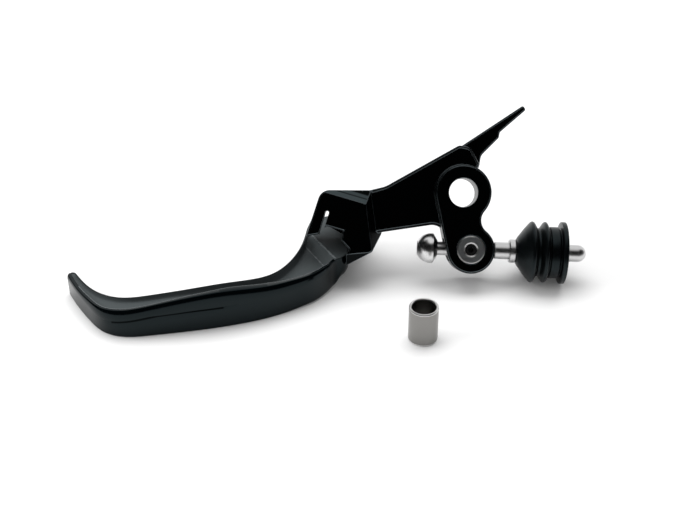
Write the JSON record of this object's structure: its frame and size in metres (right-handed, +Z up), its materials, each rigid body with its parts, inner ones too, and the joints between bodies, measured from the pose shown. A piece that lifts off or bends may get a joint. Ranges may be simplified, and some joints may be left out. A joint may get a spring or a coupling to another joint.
{
  "type": "hydraulic brake lever with folding blade",
  "caption": "Brake lever: black machined carrier with pivot boss and switch arm, channelled folding blade, swivelling barrel with adjustable pushrod and rubber boot.",
  "frame": {"origin": "middle of the pivot bore of the carrier plate", "axes": "+X along the lever from the blade's tip towards the pushrod's tip, +Y away from the viewer, +Z up from the floor that it lies on"},
  "size_m": [0.1824, 0.0701, 0.0542],
  "materials": {
    "black_anodised": "satin black anodised",
    "grey_anodised": "glossy blue-black anodised, channel bead blasted",
    "black_steel": "black oxide",
    "plain_steel": "turned",
    "polished_steel": "polished",
    "bronze": "sintered",
    "nylon": "plain",
    "black_rubber": "moulded, satin"
  },
  "bodies": {
    "carrier": {"lever_carrier": "black_anodised", "fold_bolt": "black_steel", "fold_washer": "plain_steel", "fold_spring": "plain_steel", "pivot_bush": "plain_steel"},
    "blade": {"lever_blade": "grey_anodised", "fold_bush": "bronze"},
    "barrel": {"barrel": "plain_steel", "barrel_grub_screw": "black_steel", "barrel_pad": "nylon"},
    "boot": {"dust_boot": "black_rubber"},
    "rod": {"pushrod": "polished_steel", "adjuster_knob": "polished_steel"}
  },
  "joints": [
    {"name": "blade_fold", "type": "hinge", "parent": "carrier", "child": "blade", "pos_m": [-0.0385, 0.0065, -0.02278], "axis": [0, 0, -1], "range_deg": [0, 65], "stiffness_Nm_per_rad": 0.05, "springref_deg": -28.65},
    {"name": "barrel_swivel", "type": "hinge", "parent": "carrier", "child": "barrel", "pos_m": [0.0027, -0.01089, -0.01677], "axis": [0, -0.8387, 0.5446], "range_deg": [-5, 8]},
    {"name": "rod_slide", "type": "slide", "parent": "barrel", "child": "boot", "axis": [0.9993, -0.0209, -0.0322], "range_m": [-0.003, 0.001]},
    {"name": "rod_turn", "type": "hinge", "parent": "boot", "child": "rod", "pos_m": [0.0027, -0.01089, -0.01677], "axis": [0.9993, -0.0209, -0.0322], "range_deg": [-1350.1, 450.1]}
  ],
  "couplings": [
    {"joint": "rod_turn", "follows": "rod_slide", "rad_per_m": 7854}
  ]
}
